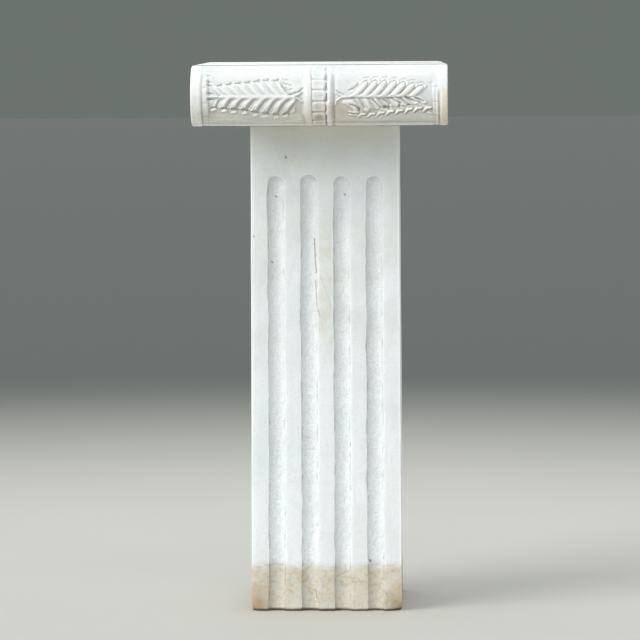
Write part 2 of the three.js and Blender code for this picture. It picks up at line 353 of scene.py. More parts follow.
@dataclass
class CarvedRoll:
    """One roll of the capital: belt, leaves, end bands and the volutes on its ends."""

    name: str
    sizes: RollSizes
    detailed: bool

    def stations(self) -> tuple[np.ndarray, np.ndarray, np.ndarray]:
        """Return the rows of the wrapped sheet from one end's middle to the other's.

        Returns:
            Places along the roll, radii, and -1, 0 or 1 for left end, barrel and right end.
        """
        s = self.sizes
        face_rows = 24 if self.detailed else 16
        step = 1.0 if self.detailed else 2.1
        edge = s.worn_edge
        radii = np.append(np.linspace(0.0, s.radius - edge, face_rows), s.radius - 0.3 * edge)
        inner = s.strip_inner(Side.RIGHT) + 1
        right = np.concatenate([
            np.arange(0.5 * step, inner, step),
            np.arange(inner, s.half - edge, step * 1.2),
            [s.half - edge],
        ])
        along = np.concatenate([-right[::-1], right])
        face = np.append(np.full(face_rows, s.half), s.half - 0.3 * edge)
        x = np.concatenate([-face, along, face[::-1]])
        r = np.concatenate([radii, np.full(len(along), s.radius), radii[::-1]])
        kind = np.concatenate([np.full(len(face), -1), np.zeros(len(along)), np.full(len(face), 1)])
        return x, r, kind

    def angles(self) -> np.ndarray:
        """Return the sheet's columns round the roll, dense where the carving shows."""
        fine, coarse = (1.25, 2.9) if self.detailed else (2.6, 5.0)
        outer = np.arange(-64.0, 64.01, fine)
        upper = np.arange(64.0 + coarse, 98.0, coarse)
        inner = np.linspace(upper[-1] + coarse, 180.0, 14)
        half = np.concatenate([upper, inner])
        return np.radians(np.concatenate([-half[::-1], outer, half]))

    def build(self) -> bpy.types.Object:
        """Wrap the sheet round the roll and carve it.

        Returns:
            The roll as a closed mesh, still at the front of the capital.
        """
        s = self.sizes
        x0, r0, kind = self.stations()
        angles = self.angles()
        sheet = Sheet(self.name, len(x0), len(angles))
        x = np.repeat(x0[:, None], len(angles), axis=1)
        r = np.repeat(r0[:, None], len(angles), axis=1)
        angle = np.repeat(angles[None, :], len(x0), axis=0)
        barrel = kind == 0
        relief = Relief(x[barrel], angle[barrel] * s.radius)
        self.carve(relief)
        height = np.zeros(x.shape)
        height[barrel] = relief.height
        if self.detailed:
            height[barrel] = 0.5 * relief.height + 0.5 * blurred(relief.height, 1)
        face_depth = self.volute_depth(r, angle)
        ends = ~barrel
        x[ends] = x[ends] - np.sign(x[ends]) * face_depth[ends]
        r = r + height
        hollow = np.zeros(x.shape)
        # Painted shade, partly dirt: the carving's hollows, found by blurring, and the volutes' channels get a
        # hollow value that darkens the colour.
        narrow = (blurred(height[barrel], 2) - height[barrel]) / 0.55
        broad = (blurred(height[barrel], 6) - height[barrel]) / 1.8
        hollow[barrel] = 0.6 * narrow + 0.6 * broad
        hollow[ends] = np.clip(face_depth[ends] / s.recess - 0.45, 0, 1) * 0.8
        y = -s.axis_y - r * np.cos(angle)
        z = s.axis_z + r * np.sin(angle)
        sheet.shape(np.stack([x, y, z], axis=-1) * MM)
        sheet.attribute("hollow", np.clip(hollow, 0, 1))
        # Painted highlight, partly wear: the ridges and the lip at the roll's foot get a crest value that whitens
        # the colour.
        sheet.attribute("crest", np.clip(-1.5 * hollow, 0, 1))
        return sheet.closed()

    def carve(self, relief: Relief) -> None:
        """Carve the whole barrel: bands, belt, panels and leaves."""
        s = self.sizes
        wobble = 0.7 if self.detailed else 0.4
        plain_x, plain_arc = relief.x, relief.arc
        relief.x = plain_x + wobble * lattice_noise(plain_x, plain_arc, 17.0, 3)
        relief.arc = plain_arc + wobble * lattice_noise(plain_x, plain_arc, 15.0, 4)
        self.bands(relief)
        self.beaded_belt(relief)
        self.panel_ground(relief)
        if self.detailed:
            self.left_leaf(relief)
            self.right_leaf(relief)
        else:
            self.plain_leaves(relief)
        relief.x, relief.arc = plain_x, plain_arc
        if self.detailed:
            relief.height *= 1.0 - 0.75 * ease((plain_arc - 31.0) / 14.0)
            relief.height += 0.13 * lattice_noise(plain_x, plain_arc, 3.1, 7)
        relief.height += 0.2 * lattice_noise(plain_x, plain_arc, 8.0, 5)
        relief.height += 0.3 * lattice_noise(plain_x, plain_arc, 41.0, 6)
        relief.height = np.minimum(relief.height, 0.40)

    def bands(self, relief: Relief) -> None:
        """Cut the grooves and the strip of blocks beside each end band."""
        s = self.sizes
        cut = math.radians(s.block_angle) * s.radius
        phase = np.abs(((relief.arc - 0.8) / cut) % 1.0 - 0.5) * cut
        for side in Side:
            out = relief.x * side.value
            middle = s.strip_outer(side) + s.groove / 2
            bleached = 1.0 - (0.3 if side is Side.LEFT else 0.85) * ease(relief.arc / 16.0)
            groove = np.exp(-(((out - middle) / s.groove) ** 2))
            relief.height -= 2.6 * groove * bleached
            on_strip = between(out, s.strip_inner(side), s.strip_outer(side), 1.6)
            relief.lower_to(on_strip, -0.9 if side is Side.LEFT else -1.6)
            ridge = np.exp(-(((out - s.strip_outer(side) + 1.6) / 1.5) ** 2))
            relief.height += (1.6 * ridge * bleached) if side is Side.RIGHT else 0.0
            relief.height -= 1.5 * on_strip * np.clip(1 - phase / 1.3, 0, 1) * (relief.arc < 24)

    def beaded_belt(self, relief: Relief) -> None:
        """Carve the belt: two rounded fillets, and square dished pillows between them."""
        s = self.sizes
        out = np.abs(relief.x)
        sunk = between(out, -1, s.belt, 1.6)
        relief.lower_to(sunk, -2.4)
        middle = s.belt + s.fillet / 2
        across = np.clip(np.abs(out - middle) / (s.fillet / 2), 0, 1)
        on_fillet = between(out, s.belt, s.belt + s.fillet, 1.6)
        rise = np.where(relief.x < 0, 0.7, 1.4)
        fillet = 0.1 - rise + rise * np.sqrt(np.clip(1 - across**3, 0, 1))
        relief.height = relief.height * (1 - on_fillet) + fillet * on_fillet
        pitch = math.radians(s.bead_angle) * s.radius
        v = (((relief.arc - s.bead_offset) / pitch + 0.5) % 1.0 - 0.5) * pitch
        u = relief.x + 0.6
        half_u, half_v = s.belt - 0.6, pitch / 2 - 0.4
        share = (np.abs(u / half_u) ** 7 + np.abs(v / half_v) ** 7) ** (1 / 7)
        rough = 0.35 * lattice_noise(relief.x, relief.arc, 2.6, 31)
        dished = -(1.5 + rough) * np.clip(1 - ((u - 2.0) / half_u) ** 2 - ((v + 1.0) / half_v) ** 2, 0, 1)
        pillow = -3.6 + 3.6 * np.sqrt(np.clip(1 - share**7, 0, 1)) + dished
        relief.height = np.where(share < 1, pillow, relief.height)
        for row in range(-4, 3):
            joint = s.bead_offset + pitch * (row + 0.5)
            width = 3.6 if row > -2 else 1.3
            notch = Stroke(((s.belt - 0.9, joint + 1.0), (s.belt - 0.2, joint + 13.0)), (width, 0.3 * width))
            relief.furrow(notch, 5.5)

    def panel_ground(self, relief: Relief) -> None:
        """Sink the ground of both panels inside their plain edges."""
        s = self.sizes
        for side in Side:
            out = relief.x * side.value
            inner = s.strip_inner(side)
            along = np.clip((out - s.panel_start) / (inner - s.panel_start), 0, 1)
            soft = 9.0 if side is Side.LEFT else 3.0
            panel = ease((out - s.panel_start) / soft + 0.35) * ease((inner - out) / 2.4 + 0.5)
            foot = 44.0 + 9.0 * np.sin(np.pi * np.clip(along * 1.35, 0, 1)) ** 2
            below = ease((-relief.arc - 24.0) / (foot - 24.0))
            above = ease((relief.arc - 18.0) / 22.0)
            relief.lower_to(panel, s.ground if side is Side.LEFT else s.ground + 0.8)
            relief.lower_to(panel * below, -1.7)
            relief.lower_to(panel * above, -0.7)
            if side is Side.LEFT:
                relief.lower_to(panel * ease((-relief.arc - foot) / 1.4 + 0.5), -0.9)
            relief.lower_to(panel * ease((np.abs(relief.arc) - 56.0) / 7.0), -0.5)
            beside = np.exp(-(((out - s.belt - s.fillet - 1.3) / 2.9) ** 2))
            depth = 3.0 - 1.4 * ease((np.abs(relief.arc) - 15.0) / 30.0)
            relief.height -= depth * beside * (1.0 if side is Side.RIGHT else 0.15)
        lip = np.exp(-(((relief.arc + 65.0) / 2.8) ** 2))
        relief.height += 2.3 * lip

    def left_leaf(self, relief: Relief) -> None:
        """Carve the leaf on the left half, with scooped lobes that end in drilled eyes."""
        s = self.sizes
        start = s.panel_start
        lower = LobeRow(
            Side.LEFT, -1, first_root=-22.1, root_pitch=19.2, sweep=38.6, sweep_step=-2.6,
            reach=((15, 31), (45, 33.5), (65, 31), (80, 27.5), (95, 23.5), (130, 21), (150, 19)),
            lobes=8, style=Style.SCOOPED, crest=0.3, cut=4.8, skew=0.76, clear=15.0,
        )
        upper = LobeRow(
            Side.LEFT, 1, first_root=15.5, root_pitch=15.6, sweep=27.0, sweep_step=-0.3,
            reach=((30, 30), (60, 30), (90, 26.5), (120, 24), (150, 20)),
            lobes=7, style=Style.SCOOPED, crest=-0.3, cut=2.5, skew=0.45,
        )
        for row in (upper, lower):
            row.carve(relief, start, s.ground)
        fork = ((14.0, -0.8), (3.0, 6.4)), ((12.0, -5.4), (3.6, -12.0))
        self.stem(relief, Side.LEFT, (22.0, -2.5), fork)
        relief.groove(self.curve(Side.LEFT, ((26.0, 0.0), (9.0, 5.6), (2.0, 12.5)), (1.2, 3.4, 2.4)), 4.4)
        for index in range(-1, 6):
            x, arc = upper.place(index + 1.0, 1.0, start)
            relief.groove(Stroke(((x + 1.6, arc + 2.0), (x - 1.0, arc), (x - 7.0, arc - 1.6)), (1.6, 2.8, 0.7)), 4.6)
        for index in range(8):
            x, arc = lower.place(index + 0.8, 1.0, start)
            beyond = 3.6 + 1.8 * math.sin(math.pi * index / 6)
            jitter = 1.3 * math.sin(2.3 * index)
            relief.groove(Stroke(((x - 5.6, arc + 0.6), (x + 4.6, arc - 0.8)), (1.5, 2.7)), 3.2)
            knob = Stroke(
                ((x - 4.0 + jitter, arc - beyond - 1.4), (x + 1.4, arc - beyond + 0.2)), (1.4, 2.9 + 0.5 * jitter),
            )
            relief.stand(knob, s.ground + 1.6, -0.3 - 0.3 * math.sin(3.1 * index))
        ovals = (
            (((36.0, 28.2), (26.0, 28.4)), 1.4), (((35.0, 22.8), (20.0, 17.8)), 2.0),
            (((37.0, 12.8), (28.0, 12.4)), 2.0), (((33.0, 8.0), (20.0, 11.0)), 1.6),
        )
        for points, width in ovals:
            relief.groove(self.curve(Side.LEFT, points, (0.6 * width, width)), 2.6)
        self.strip_notches(relief, Side.LEFT, ((-6.9, 11.0), (3.4, 11.0), (19.2, 6.5), (26.0, 6.0), (38.0, 6.0)))

    def right_leaf(self, relief: Relief) -> None:
        """Carve the leaf on the right half: long fingers above, curled lobes below."""
        s = self.sizes
        start = s.panel_start
        upper = LobeRow(
            Side.RIGHT, 1, first_root=21.0, root_pitch=15.6, sweep=25.5, sweep_step=-0.6,
            reach=((30, 27), (60, 29), (95, 28), (120, 24.5), (150, 18)),
            lobes=7, style=Style.FINGERS, crest=0.3, cut=4.6, bow=0.68,
        )
        lower = LobeRow(
            Side.RIGHT, -1, first_root=33.0, root_pitch=15.3, sweep=14.0, sweep_step=-0.2,
            reach=((30, 26), (60, 26), (80, 23), (100, 20), (140, 14.5)),
            lobes=7, style=Style.SCOOPED, crest=-0.2, cut=3.4, skew=0.3, bow=0.7,
        )
        for row in (upper, lower):
            row.carve(relief, start, s.ground)
        self.curled_lobe(relief)
        fork = ((11.0, 0.2), (3.6, 4.6)), ((12.0, -3.4), (5.0, -8.8), (3.0, -15.5))
        self.stem(relief, Side.RIGHT, (19.0, -2.7), fork, length=24.0)
        relief.groove(self.curve(Side.RIGHT, ((17.0, 1.6), (9.0, 4.6), (5.0, 8.0)), (1.0, 2.2, 1.2)), 2.6)
        relief.groove(self.curve(Side.RIGHT, ((22.0, -5.8), (80.0, -5.6), (130.0, -3.6)), (1.4, 2.2, 1.2)), 2.4)
        for index in range(8):
            x, arc = upper.place(index + 0.5, 1.0, start)
            relief.groove(Stroke(((x - 6.0, arc + 5.6), (x + 3.0, arc + 6.6)), (0.9, 1.5)), 2.0)
            x, arc = lower.place(index - 0.1, 1.0, start)
            arch = ((x - 7.4, arc - 13.0), (x - 1.8, arc - 6.0), (x + 4.8, arc - 5.4))
            relief.stand(Stroke(arch, (1.5, 2.8, 1.9)), s.ground, 0.45)
            shade = tuple((px + 1.8, pa - 3.6) for px, pa in arch)
            relief.groove(Stroke(shade, (1.2, 2.6, 1.6)), 1.8)
        folds = (
            ((63.4, -7.6), (75.1, -21.5)), ((80.9, -7.6), (89.8, -15.2), (88.3, -26.4)),
            ((92.7, -4.7), (107.3, -15.2), (105.9, -21.5)), ((107.3, -6.1), (122.0, -18.3)),
            ((114.6, -3.1), (126.2, -9.1), (139.5, -13.7)), ((132.0, -5.0), (145.0, -11.0)),
        )
        for points in folds:
            relief.groove(self.curve(Side.RIGHT, points, (2.0, 3.4, 2.2)), 4.2)
        relief.groove(self.curve(Side.RIGHT, ((25.0, 9.0), (34.0, 13.0), (40.0, 20.0)), (1.6, 4.4, 2.6)), 3.4)
        relief.drill(106.5, -22.0, (4.8, 2.8), 5.0)
        relief.stand(Stroke(((176.0, -31.0), (182.0, -34.0)), (1.8, 1.8)), s.ground, 0.0)
        relief.knob(181.0, -42.0, (2.8, 2.2), s.ground, -0.4)

    def curve(self, side: Side, points: tuple[tuple[float, float], ...], widths: tuple[float, ...]) -> Stroke:
        """Return a stroke on one panel, from places out from the belt's edge and round the roll."""
        start = self.sizes.panel_start
        return Stroke(tuple((side.value * (start + out), arc) for out, arc in points), widths)

    def curled_lobe(self, relief: Relief) -> None:
        """Carve the large lobe that curls under by the right leaf's fork."""
        s = self.sizes
        tongue = (18.0, -12.0), (28.0, -14.0), (35.0, -20.0), (36.0, -28.0)
        relief.stand(self.curve(Side.RIGHT, tongue, (4.0, 6.5, 6.0, 3.4)), s.ground + 0.6, -0.9)
        outer = (26.0, -16.0), (36.0, -18.6), (41.0, -25.0), (40.6, -31.0)
        relief.groove(self.curve(Side.RIGHT, outer, (1.2, 2.4, 3.2, 2.0)), 4.4)
        for level in (-29.5, -36.0):
            relief.stand(self.curve(Side.RIGHT, ((26.0, level), (40.0, level - 1.6)), (2.0, 1.5)), s.ground, 0.2)
            relief.groove(self.curve(Side.RIGHT, ((25.0, level - 3.4), (41.0, level - 4.4)), (1.2, 1.6)), 2.0)
        relief.knob(76.5, -25.5, (5.2, 4.4), s.ground, -0.3)
        relief.drill(76.5, -25.0, (1.8, 1.6), 1.0)

    def stem(
        self, relief: Relief, side: Side, fork: tuple[float, float],
        arms: tuple[tuple[tuple[float, float], ...], ...], length: float | None = None,
    ) -> None:
        """Leave a leaf's stem standing, with its fork by the belt.

        Args:
            relief: The roll's height field.
            side: Which half of the roll.
            fork: Where the stem forks, out from the panel's start and round the roll.
            arms: The further points of each of the fork's arms, likewise.
            length: How far the stem stands on its own, or None where it runs to the strip of blocks.
        """
        s = self.sizes
        tip = fork[0] + length if length else s.strip_inner(side) - s.panel_start - 1.0
        middle = (fork[0] + tip) / 2
        bowed = (fork, (middle, fork[1] + 0.9), (tip, fork[1] + 0.2))
        relief.stand(self.curve(side, bowed, (1.5, 1.6, 1.3)), s.ground, -0.1)
        for arm in arms:
            relief.stand(self.curve(side, (fork, *arm), (1.6, 1.3, 1.1)), s.ground, -0.1)

    def strip_notches(self, relief: Relief, side: Side, notches: tuple[tuple[float, float], ...]) -> None:
        """Sink wedges where a leaf's tips meet the strip of blocks, from their places and lengths."""
        edge = self.sizes.strip_inner(side) - self.sizes.panel_start - 0.6
        for arc, length in notches:
            relief.groove(self.curve(side, ((edge, arc), (edge - length, arc * 0.96)), (3.4, 0.8)), 4.2)

    def plain_leaves(self, relief: Relief) -> None:
        """Carve the plainer leaves of the hidden roll."""
        s = self.sizes
        for side in Side:
            for up in (1, -1):
                row = LobeRow(
                    side, up, first_root=8.0, root_pitch=24.0, sweep=22.0, sweep_step=-1.5,
                    reach=((20, 30), (70, 28), (150, 18)), lobes=5, style=Style.PLAIN,
                )
                row.carve(relief, s.panel_start, s.ground)
            self.stem(relief, side, (24.0, -2.5), (((12.0, 2.0), (3.0, 11.0)), ((12.0, -7.0), (3.0, -16.0))))

    def volute_depth(self, radius: np.ndarray, angle: np.ndarray) -> np.ndarray:
        """Return how deep the spiral's channel is cut into a roll's end.

        Args:
            radius: Distance from the roll's axis.
            angle: Angle up from the front.

        Returns:
            The depth in from the end, in millimetres.
        """
        s = self.sizes
        turns, eye = 2.1, 8.0
        outer = s.radius - s.rim + 1.0
        raised = np.clip((radius - (s.radius - s.rim)) / 1.2 + 0.5, 0, 1)
        raised = np.maximum(raised, np.clip((eye - 1.0 - radius) / 1.2 + 0.5, 0, 1))
        start = (np.pi / 2 - angle) % (2 * np.pi)
        for lap in range(3):
            turned = start + 2 * np.pi * lap
            share = turned / (2 * np.pi * turns)
            line = outer + (eye - outer) * np.clip(share, 0, 1) ** 0.8
            width = 2.0 - 0.6 * share
            near = np.clip((width - np.abs(radius - line)) / 1.2 + 0.5, 0, 1)
            raised = np.maximum(raised, np.where(share <= 1, near, 0))
        return s.recess * (1 - ease(raised))


class Sheet:
    """A flat grid whose corners are placed by formula, to be closed into a piece."""

    def __init__(self, name: str, columns: int, rows: int) -> None:
        """Make the grid, one cell between neighbouring columns and rows.

        Args:
            name: Name of the piece.
            columns: How many places the grid has one way.
            rows: How many places it has the other way.
        """
        self.name = name
        self.mesh = bpy.data.meshes.new(name)
        bm = bmesh.new()
        bmesh.ops.create_grid(bm, x_segments=columns - 1, y_segments=rows - 1, size=0.5)
        bm.to_mesh(self.mesh)
        bm.free()
        flat = np.zeros(len(self.mesh.vertices) * 3)
        self.mesh.vertices.foreach_get("co", flat)
        flat = flat.reshape(-1, 3)
        self.column = np.rint((flat[:, 0] + 0.5) * (columns - 1)).astype(int)
        self.row = np.rint((flat[:, 1] + 0.5) * (rows - 1)).astype(int)

    def shape(self, points: np.ndarray) -> None:
        """Move each corner to its place, given by column and row, in metres."""
        self.mesh.vertices.foreach_set("co", points[self.column, self.row].ravel())

    def attribute(self, name: str, values: np.ndarray) -> None:
        """Store a number on each corner, given by column and row."""
        layer = self.mesh.attributes.new(name, "FLOAT", "POINT")
        layer.data.foreach_set("value", values[self.column, self.row].astype(np.float32))

    def closed(self, sharp_angle: float = 50.0) -> bpy.types.Object:
        """Close seams, poles and open ends, and turn the faces out.

        Args:
            sharp_angle: Edges bent by more than this, in degrees, stay crisp.

        Returns:
            The finished object.
        """
        bm = bmesh.new()
        bm.from_mesh(self.mesh)
        bmesh.ops.remove_doubles(bm, verts=bm.verts, dist=1e-6)
        rim = [edge for edge in bm.edges if edge.is_boundary]
        if rim:
            caps = bmesh.ops.holes_fill(bm, edges=rim, sides=0)
            bmesh.ops.triangulate(bm, faces=caps["faces"])
        bmesh.ops.recalc_face_normals(bm, faces=bm.faces)
        for face in bm.faces:
            face.smooth = True
        limit = math.radians(sharp_angle)
        for edge in bm.edges:
            edge.smooth = edge.calc_face_angle(0.0) < limit
        bm.to_mesh(self.mesh)
        bm.free()
        piece = bpy.data.objects.new(self.name, self.mesh)
        bpy.context.scene.collection.objects.link(piece)
        return piece


@dataclass
class CapitalBlock:
    """The block between the rolls: canalis, echinus and the thin abacus."""

    sizes: RollSizes
    bed: float
    top: float
    abacus_half: tuple[float, float] = (190.0, 171.0)
    spread: float = 13.0
    canalis: float = 36.0
    border: float = 4.2
    foot_reach: float = 140.0
    head_reach: float = 192.0
    half_depth: float = 196.0

    def bar(self, name: str, outline: list[tuple[float, float]], half_depth: float) -> bpy.types.Object:
        """Make a bar with one outline all along Y.

        Args:
            name: Name of the piece.
            outline: Points of the right half, from the top down, as places along X and up.
            half_depth: How far it runs to the front and to the back.

        Returns:
            The bar as an object.
        """
        bm = bmesh.new()
        ring = outline + [(-x, z) for x, z in reversed(outline)]
        corners = [bm.verts.new((x * MM, -half_depth * MM, z * MM)) for x, z in ring]
        face = bm.faces.new(corners)
        grown = bmesh.ops.extrude_face_region(bm, geom=[face])
        moved = [part for part in grown["geom"] if isinstance(part, bmesh.types.BMVert)]
        bmesh.ops.translate(bm, verts=moved, vec=(0, 2 * half_depth * MM, 0))
        bmesh.ops.recalc_face_normals(bm, faces=bm.faces)
        return finished(name, bm)

    def build(self) -> list[bpy.types.Object]:
        """Build the canalis with its borders, the echinus and the abacus."""
        s = self.sizes
        roll_top = s.axis_z + s.radius
        foot = roll_top - self.canalis
        face = s.half - s.recess - 0.3
        rows = 10
        rise = foot - self.bed + 0.5
        out = self.head_reach - self.foot_reach
        swell = []
        for i in range(rows + 1):
            angle = math.pi / 2 * (1 - i / rows)
            swell.append((self.foot_reach + out * math.sin(angle), self.bed + rise * (1 - math.cos(angle))))
        inside_rim = s.axis_y - s.radius + s.rim - 0.4
        return [
            self.bar("canalis", [(face, roll_top - 1.5), (face, foot)], s.axis_y),
            self.bar("upper_border", self.border_outline(roll_top - 0.2), s.axis_y),
            self.bar("lower_border", self.border_outline(foot + self.border), inside_rim),
            self.bar("echinus", swell, self.half_depth),
            self.abacus(roll_top),
        ]

    def border_outline(self, top: float) -> list[tuple[float, float]]:
        """Return the outline of one of the raised borders of the canalis, under its top."""
        half, edge = self.sizes.half - 0.15, 1.0
        low = top - self.border
        return [(half - edge, top), (half, top - edge), (half, low + edge), (half - edge, low)]

    def abacus(self, roll_top: float) -> bpy.types.Object:
        """Build the abacus: a slab with a plain face over a hollow that spreads to the rolls.

        Args:
            roll_top: Height of the rolls' tops.

        Returns:
            The slab as an object.
        """
        half_x, half_y = self.abacus_half
        rise = self.top - roll_top
        spread = self.spread
        rings = (
            (1.3, 0.0, 1.0, -0.5), (1.3, 0.0, 1.0, 0.02), (1.3, 0.0, 0.02, 0.08), (1.25, 0.1, 0.02, 0.2),
            (1.25, 0.1, 0.12, 0.22), (0.95, 0.8, 0.09, 0.4), (0.58, 2.5, 0.04, 0.58), (0.15, 5.0, -0.08, 0.86),
            (-0.1, 4.8, -0.2, 0.95), (-0.25, 4.4, -0.4, 1.0),
        )
        bm = bmesh.new()
        bmesh.ops.create_grid(bm, x_segments=1, y_segments=1, size=0.5)
        face = bm.faces[:][0]
        was = (1.0, 0.0, 1.0, 0.0)
        for out, lean, depth, level in rings:
            now = (2 * (half_x + spread * out), lean, 2 * (half_y + spread * depth), roll_top + rise * level)
            if was[3]:
                grown = bmesh.ops.extrude_face_region(bm, geom=[face])
                moved = [part for part in grown["geom"] if isinstance(part, bmesh.types.BMVert)]
                face = [part for part in grown["geom"] if isinstance(part, bmesh.types.BMFace)][0]
            else:
                moved = bm.verts[:]
                bmesh.ops.scale(bm, verts=moved, vec=(MM, MM, 1))
            bmesh.ops.translate(bm, verts=moved, vec=(-was[1] * MM, 0, 0))
            bmesh.ops.scale(bm, verts=moved, vec=(now[0] / was[0], now[2] / was[2], 1))
            bmesh.ops.translate(bm, verts=moved, vec=(now[1] * MM, 0, (now[3] - was[3]) * MM))
            was = now
        bmesh.ops.recalc_face_normals(bm, faces=bm.faces)
        # The abacus is whitened all over: painted highlight.
        return finished("abacus", bm, worn=1.0)


def finished(name: str, bm: bmesh.types.BMesh, worn: float = 0.0) -> bpy.types.Object:
    """Turn a bmesh into an object with smooth faces and crisp edges.

    Args:
        name: Name of the object.
        bm: The mesh, which is freed.
        worn: How far the piece is whitened all over, from 0 to 1, as painted highlight.

    Returns:
        The object, linked to the scene.
    """
    for face in bm.faces:
        face.smooth = True
    for edge in bm.edges:
        edge.smooth = edge.calc_face_angle(0.0) < math.radians(35)
    mesh = bpy.data.meshes.new(name)
    bm.to_mesh(mesh)
    bm.free()
    for attribute, value in (("hollow", 0.0), ("crest", worn)):
        layer = mesh.attributes.new(attribute, "FLOAT", "POINT")
        layer.data.foreach_set("value", [value] * len(mesh.vertices))
    piece = bpy.data.objects.new(name, mesh)
    bpy.context.scene.collection.objects.link(piece)
    return piece


def joined(name: str, pieces: list[bpy.types.Object]) -> bpy.types.Object:
    """Join meshes that are one block of stone into one object."""
    bpy.ops.object.select_all(action="DESELECT")
    for piece in pieces:
        piece.select_set(True)
    bpy.context.view_layer.objects.active = pieces[0]
    bpy.ops.object.join()
    whole = bpy.context.view_layer.objects.active
    whole.name = name
    whole.data.name = name
    return whole


@dataclass
class FlutedShaft:
    """The shaft: a square block with four hand-cut flutes on each face."""

    low: Vector
    high: Vector
    flutes: int = 4
    pitch: float = 55.0
    width: float = 28.2
    depth: float = 7.5
    lip: float = 2.8
    head: float = 726.0
    taper: float = 5.0
    chips: tuple[tuple[float, float], ...] = ((11.0, 6.5), (17.0, 10.0), (7.0, 3.0), (8.0, 4.0))

    def across(self) -> np.ndarray:
        """Return the places over one face where the sheet has a column, as shares of its width."""
        half = 0.5
        width = (self.high.x - self.low.x) / MM
        cuts = [(-(self.flutes - 1) / 2 + i) * self.pitch / width for i in range(self.flutes)]
        reach = self.width / 2 / width
        places = [-half, -half + 0.0035, -half + 0.009, -half + 0.02, -half + 0.05]
        for cut in cuts:
            lip = np.array([-3.4, -1.5, -0.6, 0.0, 0.7, 1.6]) / width
            places += list(cut - reach + lip)
            places += list(cut + reach * np.linspace(-0.78, 0.78, 9))
            places += list(cut + reach - lip[::-1])
        for left, right in zip(cuts, cuts[1:]):
            places += list(np.linspace(left + reach + 6 / width, right - reach - 6 / width, 4))
        places += [half - 0.05, half - 0.02, half - 0.009, half - 0.0035]
        return np.array(sorted(places))

    def heights(self) -> np.ndarray:
        """Return the heights of the sheet's rows, in millimetres."""
        top = self.high.z / MM
        foot = np.array([0.0, 0.8, 2.0, 4.0, 6.5, 9.5, 13.0, 17.0, 21.5, 27.0])
        body = np.arange(33.0, self.head - 20, 5.2)
        arch = np.arange(self.head - 20, self.head + 4, 1.0)
        neck = np.linspace(self.head + 6, top - 3.0, 15)
        return np.concatenate([foot, body, arch, neck, [top - 1.2, top - 0.4, top]])

    def build(self) -> bpy.types.Object:
        """Wrap the sheet round the block and cut the flutes.

        Returns:
            The shaft as a closed mesh.
        """
        share = self.across()
        heights = self.heights()
        width = (self.high.x - self.low.x) / MM
        top = self.high.z / MM
        middle = (self.high.x + self.low.x) / 2 / MM
        columns = []
        for face in range(4):
            z = np.repeat(heights[:, None], len(share), axis=1)
            local = width - self.taper * z / top
            u = share[None, :] * width
            inset, hollow = self.face_cut(u + 0 * z, z, face)
            across = share[None, :] * local
            out = local / 2 - inset
            across, out = self.rounded_corner(across, out, local / 2, z, face)
            turn = face * math.pi / 2
            x = middle + across * math.cos(turn) + out * math.sin(turn)
            y = across * math.sin(turn) - out * math.cos(turn)
            columns.append((x, y, z, hollow))
        x, y, z, hollow = (np.concatenate([part[i] for part in columns], axis=1) for i in range(4))
        x, y, z, hollow = (np.concatenate([part, part[:, :1]], axis=1) for part in (x, y, z, hollow))
        sheet = Sheet("shaft_fluted", len(heights), x.shape[1])
        sheet.shape(np.stack([x, y, z], axis=-1) * MM)
        sheet.attribute("hollow", np.clip(hollow, 0, 1))
        sheet.attribute("crest", np.clip(-hollow, 0, 1))
        return sheet.closed(sharp_angle=60.0)

    def face_cut(self, u: np.ndarray, z: np.ndarray, face: int) -> tuple[np.ndarray, np.ndarray]:
        """Return how deep one face is cut, and where it is hollow or on an edge.

        Args:
            u: Places across the face, in millimetres.
            z: Heights, in millimetres.
            face: Number of the face, from the front round by the right.

        Returns:
            The inset in millimetres, and a value above 0 in hollows and below 0 on edges.
        """
        inset = 0.25 * (1 + lattice_noise(u, z, 60.0, 11 + face))
        # The block's corners go below 0 here and are whitened in the colour: painted highlight, partly wear.
        hollow = -0.9 * ease((np.abs(u) - 119.5) / 4.0)
        for i in range(self.flutes):
            centre = (i - (self.flutes - 1) / 2) * self.pitch
            seed = 20 + 4 * face + i
            drift = 0.7 * lattice_noise(z, z * 0, 70.0, seed) + 0.35 * lattice_noise(z, z * 0, 17.0, seed + 40)
            swell = 0.6 * lattice_noise(z, z * 0, 45.0, seed + 80) + 0.4 * lattice_noise(z, z * 0, 13.0, seed + 120)
            half = self.width / 2 + swell
            head = self.head - self.width / 2 + 1.5 * math.sin(1.7 * i + face)
            rise = np.maximum(z - head, 0)
            away = np.hypot(u - centre - drift, rise)
            scoop = np.clip(1 - (away / half) ** 2, 0, None) ** 0.8
            cut = self.lip * ease((half - away) / 0.9) + (self.depth - self.lip) * scoop
            pecked = 0.35 * lattice_noise(u, z, 4.5, seed + 160) + 0.3 * lattice_noise(u, z, 11.0, seed + 200)
            cut = np.where(away < half, cut + pecked * ease(cut / 3.0), 0)
            inset = inset + np.maximum(cut, 0)
            lip = np.exp(-(((away - half - 0.8) / 1.6) ** 2))
            # Painted shade, partly dirt: a thin dark line just inside each flute's edge, and each flute's depth,
            # raise the hollow value that darkens the colour.
            inner_edge = np.exp(-(((away - half + 1.1) / 0.9) ** 2))
            inner_edge = inner_edge * (0.75 + 0.5 * lattice_noise(z, u * 0, 9.0, seed + 240))
            hollow = hollow + np.where(away < half, 0.62 * np.clip(cut / self.depth, 0, 1) + 0.7 * inner_edge, 0)
            # The flutes' lips go below 0 and are whitened in the colour: painted highlight, partly wear.
            hollow = hollow - 0.8 * lip
            inset = inset + 0.45 * lip
        return inset, hollow

